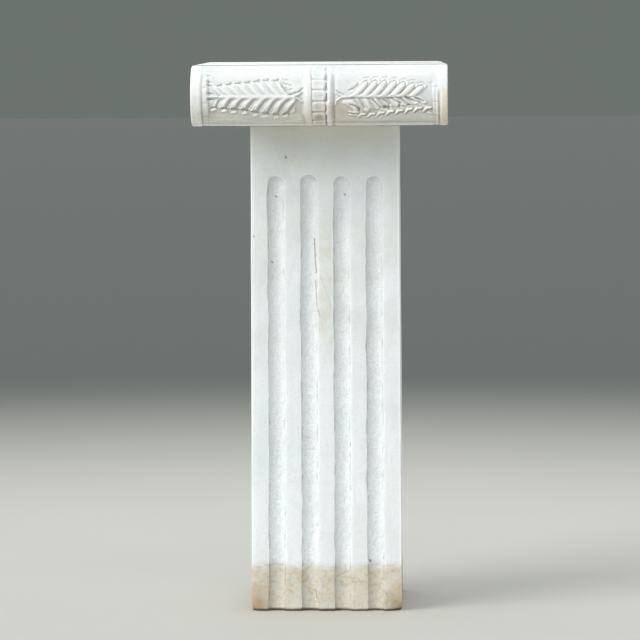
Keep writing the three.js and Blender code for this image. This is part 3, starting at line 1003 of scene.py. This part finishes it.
    def rounded_corner(
        self, across: np.ndarray, out: np.ndarray, half: np.ndarray, z: np.ndarray, face: int
    ) -> tuple[np.ndarray, np.ndarray]:
        """Round the block's upright edges, more where they are chipped.

        Args:
            across: Places across the face.
            out: Distances of the face from the shaft's axis.
            half: Half the block's width at each height.
            z: Heights.
            face: Number of the face.

        Returns:
            The places and the distances, moved.
        """
        moved_across, moved_out = across.copy(), out.copy()
        top = self.high.z / MM
        for end in (-1, 1):
            corner = (face + (1 if end > 0 else 0)) % 4
            worn = (1.6, 0.5, 1.6, 1.6)[corner] * (1.0 + 0.55 * lattice_noise(z, z * 0, 38.0, 300 + corner))
            worn = worn + 1.6 * np.clip(lattice_noise(z, z * 0, 11.0, 310 + corner) - 0.55, 0, 1)
            inward = half - across * end
            near = np.clip(1 - inward / 9.0, 0, 1)
            moved_out = moved_out - worn * near**3 * 0.6
            moved_across = moved_across - end * worn * near**3 * 0.45
            rise, run = self.chips[corner]
            chip = run * np.clip(1 - z / rise, 0, 1) ** 1.4
            near = np.clip(1 - inward / 25.0, 0, 1)
            moved_out = moved_out - chip * near**2.5
            moved_across = moved_across - end * chip * near**1.5
        foot = 1.2 + 0.8 * lattice_noise(across + 300 * face, z * 0, 14.0, 330)
        moved_out = moved_out - foot * np.clip(1 - z / 3.5, 0, 1) ** 1.5
        head = 0.9 + 0.6 * lattice_noise(across + 300 * face, z * 0, 16.0, 331)
        moved_out = moved_out - head * np.clip(1 - (top - z) / 2.0, 0, 1) ** 1.5
        return moved_across, moved_out


class Wire:
    """A socket or a number of a material, on which Python's operators add Math nodes."""

    def __init__(self, paint: "Paint", socket: object) -> None:
        """Wrap a socket or a number."""
        self.paint = paint
        self.socket = socket

    def __add__(self, other: object) -> "Wire":
        """Add."""
        return self.paint.maths("ADD", self, other)

    __radd__ = __add__

    def __sub__(self, other: object) -> "Wire":
        """Subtract."""
        return self.paint.maths("SUBTRACT", self, other)

    def __rsub__(self, other: object) -> "Wire":
        """Subtract from a number."""
        return self.paint.maths("SUBTRACT", other, self)

    def __mul__(self, other: object) -> "Wire":
        """Multiply."""
        return self.paint.maths("MULTIPLY", self, other)

    __rmul__ = __mul__

    def __truediv__(self, other: object) -> "Wire":
        """Divide."""
        return self.paint.maths("DIVIDE", self, other)

    def clamped(self) -> "Wire":
        """Keep the value from 0 to 1."""
        return self.paint.maths("MINIMUM", self.paint.maths("MAXIMUM", self, 0.0), 1.0)

    def raised(self, power: float) -> "Wire":
        """Raise to a power."""
        return self.paint.maths("POWER", self, power)


class Paint:
    """The node tree of one material."""

    def __init__(self, name: str) -> None:
        """Start a material with a principled shader."""
        self.material = bpy.data.materials.new(name)
        self.material.use_nodes = True
        self.tree = self.material.node_tree
        self.tree.nodes.clear()
        self.shader = self.node("ShaderNodeBsdfPrincipled")
        output = self.node("ShaderNodeOutputMaterial")
        self.tree.links.new(self.shader.outputs["BSDF"], output.inputs["Surface"])
        coordinates = self.node("ShaderNodeTexCoord")
        self.place = Wire(self, coordinates.outputs["Object"])
        parts = self.node("ShaderNodeSeparateXYZ", inputs={"Vector": self.place})
        self.x, self.y, self.z = (Wire(self, parts.outputs[axis]) for axis in "XYZ")
        self._fine_noise: Wire | None = None

    def node(self, kind: str, settings: dict | None = None, inputs: dict | None = None) -> bpy.types.Node:
        """Add a node.

        Args:
            kind: The node's type.
            settings: Its own settings, which are set first. A ramp's stops are pairs of place and colour.
            inputs: Values or wires for its sockets, by name or number.

        Returns:
            The node.
        """
        node = self.tree.nodes.new(kind)
        for name, value in (settings or {}).items():
            if name == "stops":
                self.set_stops(node, value)
            else:
                setattr(node, name, value)
        for name, value in (inputs or {}).items():
            socket = node.inputs[name]
            if isinstance(value, Wire):
                self.tree.links.new(value.socket, socket)
            else:
                socket.default_value = value
        return node

    @staticmethod
    def set_stops(node: bpy.types.Node, stops: list[tuple[float, tuple[float, ...]]]) -> None:
        """Set the stops of a colour ramp."""
        elements = node.color_ramp.elements
        while len(elements) < len(stops):
            elements.new(0.5)
        for element, (place, colour) in zip(elements, stops):
            element.position = place
            element.color = (*colour, 1.0)

    def maths(self, operation: str, first: object, second: object) -> Wire:
        """Add a Math node on two values."""
        values = [value if isinstance(value, (Wire, float)) else float(value) for value in (first, second)]
        node = self.node("ShaderNodeMath", {"operation": operation}, {0: values[0], 1: values[1]})
        return Wire(self, node.outputs[0])

    def noise(
        self, scale: float, detail: float = 3.0, roughness: float = 0.5, warp: float = 0.0,
        place: Wire | None = None,
    ) -> Wire:
        """Add a noise over the object's coordinates.

        Args:
            scale: Bumps to the metre.
            detail: Levels of finer noise.
            roughness: How strong the finer levels are.
            warp: How far the noise bends itself.
            place: Coordinates other than the object's own.

        Returns:
            The noise, about 0.5 on average.
        """
        inputs = {"Vector": place or self.place, "Scale": scale, "Detail": detail}
        inputs |= {"Roughness": roughness, "Distortion": warp}
        return Wire(self, self.node("ShaderNodeTexNoise", inputs=inputs).outputs["Fac"])

    def fade(self, value: Wire, low: float, high: float) -> Wire:
        """Return 0 to 1, smoothly, as a value goes from low to high."""
        node = self.node(
            "ShaderNodeMapRange",
            {"interpolation_type": "SMOOTHSTEP"},
            {"Value": value, "From Min": low, "From Max": high},
        )
        return Wire(self, node.outputs["Result"])

    def mixed(self, factor: Wire, base: object, over: object) -> Wire:
        """Mix two colours by a factor."""
        inputs = {0: factor, 6: self.colour(base), 7: self.colour(over)}
        node = self.node("ShaderNodeMix", {"data_type": "RGBA"}, inputs)
        return Wire(self, node.outputs[2])

    @staticmethod
    def colour(value: object) -> object:
        """Give a plain colour its alpha."""
        return value if isinstance(value, Wire) else (*value, 1.0)

    def stored(self, name: str) -> Wire:
        """Read a number stored on the mesh."""
        return Wire(self, self.node("ShaderNodeAttribute", {"attribute_name": name}).outputs["Fac"])

    def ball(self, centre: tuple[float, float, float], radius: float) -> Wire:
        """Return 1 near a point and 0 from a radius on, in metres."""
        node = self.node("ShaderNodeVectorMath", {"operation": "DISTANCE"}, {0: self.place, 1: centre})
        return (1.0 - Wire(self, node.outputs["Value"]) / radius).clamped()

    def line(self, start: tuple[float, float], end: tuple[float, float], half_width: float) -> Wire:
        """Return 1 on a line over the front face and 0 beside it.

        Args:
            start: Where it starts, across and up in millimetres.
            end: Where it ends.
            half_width: Half its width, in millimetres.

        Returns:
            The mask, a little frayed.
        """
        across, rise = (end[0] - start[0]) * MM, (end[1] - start[1]) * MM
        dx, dz = self.x - start[0] * MM, self.z - start[1] * MM
        share = ((dx * across + dz * rise) / (across**2 + rise**2)).clamped()
        away_x, away_z = dx - share * across, dz - share * rise
        away = (away_x * away_x + away_z * away_z).raised(0.5)
        frayed = away + (self.fine_noise - 0.5) * (1.4 * MM)
        return (1.0 - frayed / (half_width * MM)).clamped()

    @property
    def fine_noise(self) -> Wire:
        """A fine noise that frays drawn marks, made once."""
        if self._fine_noise is None:
            self._fine_noise = self.noise(240.0, 3.0, 0.6)
        return self._fine_noise

    def finish(self, colour: Wire, roughness: object, bump: Wire, bump_depth: float) -> bpy.types.Material:
        """Join colour, roughness and bump to the shader.

        Args:
            colour: The surface's colour.
            roughness: The surface's roughness.
            bump: Height of the fine surface.
            bump_depth: Depth in metres of the bump from 0 to 1.

        Returns:
            The material.
        """
        raised = self.node("ShaderNodeBump", inputs={"Height": bump, "Distance": bump_depth, "Strength": 1.0})
        self.tree.links.new(colour.socket, self.shader.inputs["Base Color"])
        self.tree.links.new(roughness.socket, self.shader.inputs["Roughness"])
        self.tree.links.new(raised.outputs["Normal"], self.shader.inputs["Normal"])
        return self.material


@dataclass(frozen=True)
class ShaftMarble:
    """White marble with cool clouding, cream veins, and a tan tide line at the foot."""

    white: tuple[float, float, float] = (0.865, 0.91, 0.925)
    # Near-white for the painted highlight on the corners and the flutes' lips, partly wear.
    worn: tuple[float, float, float] = (0.95, 0.955, 0.95)
    cloud: tuple[float, float, float] = (0.80, 0.845, 0.86)
    grain: tuple[float, float, float] = (0.66, 0.71, 0.73)
    cream: tuple[float, float, float] = (0.72, 0.69, 0.58)
    # Grey-brown for painted shade in the hollows, partly dirt.
    dirt_and_shade: tuple[float, float, float] = (0.50, 0.48, 0.40)
    tan: tuple[float, float, float] = (0.61, 0.545, 0.42)
    brown: tuple[float, float, float] = (0.42, 0.29, 0.16)
    dark: tuple[float, float, float] = (0.20, 0.17, 0.12)
    tide: float = 0.078

    def material(self) -> bpy.types.Material:
        """Build the material."""
        p = Paint("shaft_marble")
        colour = p.mixed(p.fade(p.noise(7.0, 4.0, 0.55, 0.6), 0.42, 0.68), self.white, self.cloud)
        streaks = p.node("ShaderNodeMapping", inputs={"Vector": p.place, "Scale": (9.0, 9.0, 2.6)})
        veins = p.noise(1.6, 5.0, 0.6, 0.9, Wire(p, streaks.outputs["Vector"]))
        vein = 1.0 - (p.maths("ABSOLUTE", veins - 0.5, 0.0) * 26.0).clamped()
        middle = p.fade(p.z + p.x * 1.6, 0.44, 0.475) * (1.0 - p.fade(p.z, 0.60, 0.68))
        spread = 1.0 - p.fade(p.maths("ABSOLUTE", p.x - 0.003, 0.0), 0.012, 0.020)
        creamy = middle * spread * (p.fade(p.noise(70.0, 4.0, 0.6, 0.4), 0.36, 0.66) * 0.45 + 0.25)
        colour = p.mixed(creamy.clamped(), colour, self.cream)
        broad = p.fade(p.z, 0.34, 0.5) * p.fade(p.noise(9.0, 3.0, 0.6, 0.4), 0.42, 0.6)
        colour = p.mixed(broad * 0.22, colour, self.cream)
        colour = p.mixed(vein * 0.12, colour, self.tan)
        mottled = p.noise(430.0, 3.0, 0.7)
        hollow, crest = p.stored("hollow"), p.stored("crest")
        colour = p.mixed(p.fade(mottled, 0.46, 0.66) * (hollow * 0.8 + 0.34), colour, self.grain)
        sugary = p.fade(p.noise(95.0, 4.0, 0.7), 0.5, 0.72)
        smoky = p.fade(p.noise(23.0, 4.0, 0.6, 0.7), 0.5, 0.7)
        colour = p.mixed(sugary * 0.16 + smoky * 0.2, colour, self.grain)
        # Painted shade, partly dirt: the flutes and the line just inside their edges are darkened.
        colour = p.mixed(p.fade(hollow, 0.6, 0.95) * 0.8, colour, self.dirt_and_shade)
        # Painted highlight, partly wear: the block's corners and the flutes' lips are whitened.
        colour = p.mixed(crest * 0.75, colour, self.worn)
        wander = (p.noise(22.0, 4.0, 0.6) - 0.5) * 0.028
        edge = p.z - self.tide + wander
        stained = 1.0 - p.fade(edge, -0.012, 0.008)
        blotch = p.fade(p.noise(38.0, 4.0, 0.65), 0.38, 0.7)
        colour = p.mixed(stained * (blotch * 0.3 + 0.66), colour, self.tan)
        broken = p.fade(p.noise(31.0, 3.0, 0.6), 0.47, 0.6)
        for level, strength in ((self.tide - 0.003, 0.22), (0.048, 0.24)):
            line = 1.0 - (p.maths("ABSOLUTE", p.z - level + wander * 0.8, 0.0) / 0.0020).clamped()
            colour = p.mixed(line * broken * strength, colour, self.dark)
        sides = p.fade(p.maths("ABSOLUTE", p.x - 0.004, 0.0), 0.082, 0.118)
        low = 1.0 - p.fade(p.z + wander, 0.008, 0.062)
        left = 1.0 - p.fade(p.x, -0.02, 0.02)
        colour = p.mixed((low * sides * (blotch * 0.35 + left * 0.25 + 0.52)).clamped(), colour, self.brown)
        mould = p.fade(p.noise(150.0, 4.0, 0.7, 0.3), 0.46, 0.68) * (blotch * 0.5 + 0.5)
        colour = p.mixed(stained * mould * 0.42, colour, self.brown)
        # Painted contact shadow: a near-black, slightly uneven band along the very foot of the shaft.
        foot_contact_shade = 1.0 - p.fade(p.z + wander * 0.2, 0.0022, 0.0062)
        colour = p.mixed(foot_contact_shade * 0.95, colour, (0.07, 0.06, 0.045))
        # Painted light: the top of the shaft, in the shade of the capital, is lightened and warmed.
        under = p.fade(p.z, 0.755, 0.81)
        colour = p.mixed(under * 0.7, colour, (0.97, 0.955, 0.90))
        colour = p.mixed(self.cracks(p), colour, self.dark)
        colour = p.mixed(self.specks(p), colour, (0.16, 0.14, 0.11))
        rough = 0.46 + mottled * 0.2 + hollow * 0.18 - crest * 0.08
        grain = p.noise(420.0, 3.0, 0.7) * (hollow * 0.5 + 0.4) + p.noise(120.0, 3.0, 0.6) * (hollow * 2.4 + 0.3)
        return p.finish(colour, rough, grain, 0.0012)

    @staticmethod
    def cracks(p: Paint) -> Wire:
        """Place the fine cracks by the second flute and at the foot, from their points and strengths."""
        lines = (
            (((-13.5, 622.0), (-12.3, 582.0), (-10.6, 566.0)), 0.9), (((-12.2, 552.0), (-9.4, 507.0)), 0.5),
            (((-9.4, 507.0), (-5.2, 493.0)), 0.5), (((-4.0, 560.0), (8.0, 528.0), (14.0, 505.0)), 0.18),
            (((-15.0, 36.0), (-12.6, 28.0), (-13.4, 22.0)), 0.7), (((22.0, 58.0), (38.0, 66.0)), 0.5),
            (((100.0, 34.0), (107.0, 24.0), (104.0, 12.0)), 0.35), (((92.0, 40.0), (97.0, 34.0)), 0.3),
            (((112.0, 10.0), (121.0, 19.0)), 0.4),
        )
        total = None
        for points, strength in lines:
            for start, end in zip(points, points[1:]):
                mark = p.line(start, end, 1.5) * strength
                total = mark if total is None else p.maths("MAXIMUM", total, mark)
        front = 1.0 - p.fade(p.y, -0.11, -0.10)
        return total * front

    @staticmethod
    def specks(p: Paint) -> Wire:
        """Place the few dark specks that the front face has."""
        marks = (
            (-60.0, 757.0, 2.2), (-77.0, 692.0, 1.8), (37.0, 695.0, 1.8), (-84.0, 583.0, 1.6),
            (-114.0, 626.0, 1.4), (76.5, 84.0, 2.4),
        )
        total = None
        for x, z, size in marks:
            mark = p.line((x - 0.8, z + 1.0), (x + 0.8, z - 1.0), size)
            total = mark if total is None else total + mark
        front = 1.0 - p.fade(p.y, -0.11, -0.10)
        return (total * 1.6).clamped() * 0.75 * front


@dataclass(frozen=True)
class CapitalMarble:
    """White marble, worn smooth, beige towards the bottom, with painted shade, partly dirt, in the hollows and
    painted highlight, partly wear, on the ridges.
    """

    white: tuple[float, float, float] = (0.86, 0.87, 0.855)
    # Near-white for painted highlight, partly wear, on the ridges and the abacus; it also lightens the end bands.
    worn: tuple[float, float, float] = (0.96, 0.955, 0.925)
    cloud: tuple[float, float, float] = (0.78, 0.81, 0.81)
    beige: tuple[float, float, float] = (0.80, 0.745, 0.60)
    # Brown and grey for painted shade in the hollows, partly dirt; the grey also mottles the stone.
    dirt_and_shade: tuple[float, float, float] = (0.43, 0.38, 0.29)
    grey: tuple[float, float, float] = (0.47, 0.51, 0.52)
    yellow: tuple[float, float, float] = (0.86, 0.79, 0.58)
    brown: tuple[float, float, float] = (0.40, 0.29, 0.19)

    def material(self) -> bpy.types.Material:
        """Build the material."""
        p = Paint("capital_marble")
        colour = p.mixed(p.fade(p.noise(11.0, 4.0, 0.55, 0.5), 0.42, 0.66), self.white, self.cloud)
        low = 1.0 - p.fade(p.z, 0.822, 0.866)
        patch = p.fade(p.noise(24.0, 4.0, 0.6), 0.36, 0.64)
        middle = 1.0 - p.fade(p.maths("ABSOLUTE", p.x, 0.0), 0.03, 0.09)
        colour = p.mixed(low * (patch * 0.3 + middle * 0.4 + 0.22), colour, self.beige)
        ends = p.fade(p.maths("ABSOLUTE", p.x, 0.0), 0.189, 0.193)
        colour = p.mixed(ends * (0.85 - p.fade(p.x, 0.0, 0.01) * 0.5), colour, self.worn)
        right_end = p.fade(p.x, 0.192, 0.196) * (1.0 - p.fade(p.z + p.noise(60.0) * 0.01, 0.868, 0.878))
        colour = p.mixed(right_end * (patch * 0.25 + 0.68), colour, self.yellow)
        hollow, crest = p.stored("hollow"), p.stored("crest")
        # Painted shade, partly dirt: the hollows are darkened, more towards the bottom, grey and browner towards the
        # bottom and the right.
        warm = (low * (p.fade(p.x, -0.09, 0.03) * 0.6 + 0.4) + patch * 0.15).clamped()
        shade = p.mixed(warm, self.grey, self.dirt_and_shade)
        colour = p.mixed((hollow * (low * 0.3 + 0.55)).clamped(), colour, shade)
        # Painted highlight, partly wear: the ridges, the roll's foot lip and the whole abacus are whitened.
        colour = p.mixed((crest * 0.9).clamped(), colour, self.worn)
        stains = (p.ball((0.0, -0.259, 0.818), 0.011) * 2.0).clamped() * 0.6
        stains = stains + p.ball((0.1065, -0.270, 0.838), 0.007) * 1.1
        stains = stains + p.ball((0.1035, -0.272, 0.852), 0.012) * (patch * 0.5 + 0.1)
        stains = stains + p.ball((0.137, -0.273, 0.856), 0.013) * (patch * 0.35 + 0.08)
        stains = stains + p.ball((0.029, -0.268, 0.829), 0.024) * (patch * 0.3 + 0.2)
        stains = stains + p.ball((-0.181, -0.266, 0.822), 0.020) * (patch * 0.3 + 0.25)
        colour = p.mixed(stains.clamped(), colour, self.brown)
        mottled = p.noise(190.0, 4.0, 0.7)
        colour = p.mixed(p.fade(mottled, 0.48, 0.72) * (low * 0.16 + 0.14), colour, self.grey)
        rough = 0.42 + mottled * 0.2 + hollow * 0.2
        grain = p.noise(420.0, 3.0, 0.7) * 0.5 + p.noise(110.0, 3.0, 0.6) * (hollow * 0.8 + 0.4)
        return p.finish(colour, rough, grain, 0.0006)


@dataclass
class Studio:
    """A plain pale floor, soft light from the upper left, and the photograph's viewpoint."""

    image_side: float = 640.0
    focal: float = 3320.0
    distance: float = 5.499
    lateral: float = 0.18
    height: float = 0.8307
    yaw: float = 0.0336
    pitch: float = 0.0624
    roll: float = -0.00505
    horizon: tuple[float, float, float] = (0.130, 0.150, 0.137)
    dome: tuple[float, float, float] = (0.95, 0.98, 1.0)
    dome_strength: float = 1.15
    far_floor: tuple[float, float, float] = (0.073, 0.084, 0.075)

    def camera(self, face_y: float) -> None:
        """Stand the camera where the photograph was taken from.

        Args:
            face_y: Where the shaft's front face is.
        """
        data = bpy.data.cameras.new("camera")
        data.sensor_width = 36.0
        data.lens = self.focal / self.image_side * data.sensor_width
        data.clip_end = 1500.0
        camera = bpy.data.objects.new("camera", data)
        camera.location = (self.lateral, face_y - self.distance, self.height)
        level = Matrix.Rotation(self.yaw, 3, "Z") @ Matrix.Rotation(math.pi / 2 - self.pitch, 3, "X")
        camera.rotation_euler = (level @ Matrix.Rotation(self.roll, 3, "Z")).to_euler()
        bpy.context.scene.collection.objects.link(camera)
        bpy.context.scene.camera = camera

    def sun(
        self, name: str, strength: float, angle: float, azimuth: float, elevation: float,
        colour: tuple[float, ...],
    ) -> None:
        """Add a wide soft light.

        Args:
            name: Name of the light.
            strength: Its strength.
            angle: How wide it is, in degrees.
            azimuth: Where it stands, in degrees to the right of the camera's side.
            elevation: How high it stands, in degrees.
            colour: Its colour.
        """
        data = bpy.data.lights.new(name, "SUN")
        data.energy = strength
        data.angle = math.radians(angle)
        data.color = colour
        lamp = bpy.data.objects.new(name, data)
        a, e = math.radians(azimuth), math.radians(elevation)
        back = Vector((math.sin(a) * math.cos(e), -math.cos(a) * math.cos(e), math.sin(e)))
        lamp.rotation_euler = back.to_track_quat("Z", "Y").to_euler()
        bpy.context.scene.collection.objects.link(lamp)

    def light(self) -> None:
        """Add the lights and the pale surroundings."""
        self.sun("key", 1.9, 40.0, -56.0, 30.0, (1.0, 0.995, 0.98))
        world = bpy.data.worlds.new("surroundings")
        world.use_nodes = True
        nodes, links = world.node_tree.nodes, world.node_tree.links
        sky = nodes["Background"]
        direction = nodes.new("ShaderNodeTexCoord")
        height = nodes.new("ShaderNodeSeparateXYZ")
        ramp = nodes.new("ShaderNodeValToRGB")
        zenith = tuple(0.65 * part for part in self.dome)
        Paint.set_stops(ramp, [(0.04, self.horizon), (0.22, self.dome), (0.9, zenith)])
        links.new(direction.outputs["Generated"], height.inputs["Vector"])
        links.new(height.outputs["Z"], ramp.inputs["Fac"])
        links.new(ramp.outputs["Color"], sky.inputs["Color"])
        sky.inputs["Strength"].default_value = self.dome_strength
        bpy.context.scene.world = world
        view = bpy.context.scene.view_settings
        view.view_transform = "Standard"
        view.look = "None"

    def floor(self) -> None:
        """Lay a plain pale floor that darkens far from the pedestal."""
        bm = bmesh.new()
        bmesh.ops.create_circle(bm, cap_ends=True, segments=96, radius=600.0)
        mesh = bpy.data.meshes.new("floor")
        bm.to_mesh(mesh)
        bm.free()
        plane = bpy.data.objects.new("floor", mesh)
        bpy.context.scene.collection.objects.link(plane)
        p = Paint("floor_paint")
        away = p.node("ShaderNodeVectorMath", {"operation": "LENGTH"}, {0: p.place})
        far = p.fade(Wire(p, away.outputs["Value"]), 0.9, 5.0)
        pale = p.mixed(p.noise(3.0, 2.0), (0.54, 0.53, 0.485), (0.57, 0.56, 0.51))
        colour = p.mixed(far, pale, self.far_floor)
        plane.data.materials.append(p.finish(colour, 0.8 + p.noise(40.0) * 0.1, p.noise(60.0), 0.0002))


def dress(piece: bpy.types.Object, material: bpy.types.Material, node: str) -> None:
    """Give a piece its finish and its place in the frame.

    Args:
        piece: The finished mesh.
        material: Its material.
        node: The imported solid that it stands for.
    """
    piece.data.materials.clear()
    piece.data.materials.append(material)
    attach(piece, "root")
    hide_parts(node)
    LOG.info("%s: %d faces", piece.name, len(piece.data.polygons))


def build_capital() -> bpy.types.Object:
    """Build the capital as one carved block."""
    low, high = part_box("capital")
    radius = 49.3
    bed = low.z / MM
    sizes = RollSizes(
        half=(high.x - low.x) / 2 / MM,
        radius=radius,
        axis_y=274.0 - radius,
        axis_z=bed + radius,
    )
    front = CarvedRoll("front_roll", sizes, detailed=True).build()
    back = CarvedRoll("back_roll", sizes, detailed=False).build()
    back.data.transform(Matrix.Rotation(math.pi, 4, "Z"))
    block = CapitalBlock(sizes, bed, high.z / MM).build()
    return joined("capital_carved", [front, back, *block])


def main() -> None:
    """Build the pedestal around the frame, light it and set the camera."""
    logging.basicConfig(level=logging.INFO, format="%(name)s: %(message)s")
    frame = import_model()
    LOG.info("nodes in the frame: %s", sorted(frame["nodes"]))
    low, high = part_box("shaft")
    studio = Studio()
    studio.camera(low.y)
    studio.light()
    studio.floor()
    shaft = FlutedShaft(low, high).build()
    dress(shaft, ShaftMarble().material(), "shaft")
    dress(build_capital(), CapitalMarble().material(), "capital")


if __name__ == "__main__":
    main()
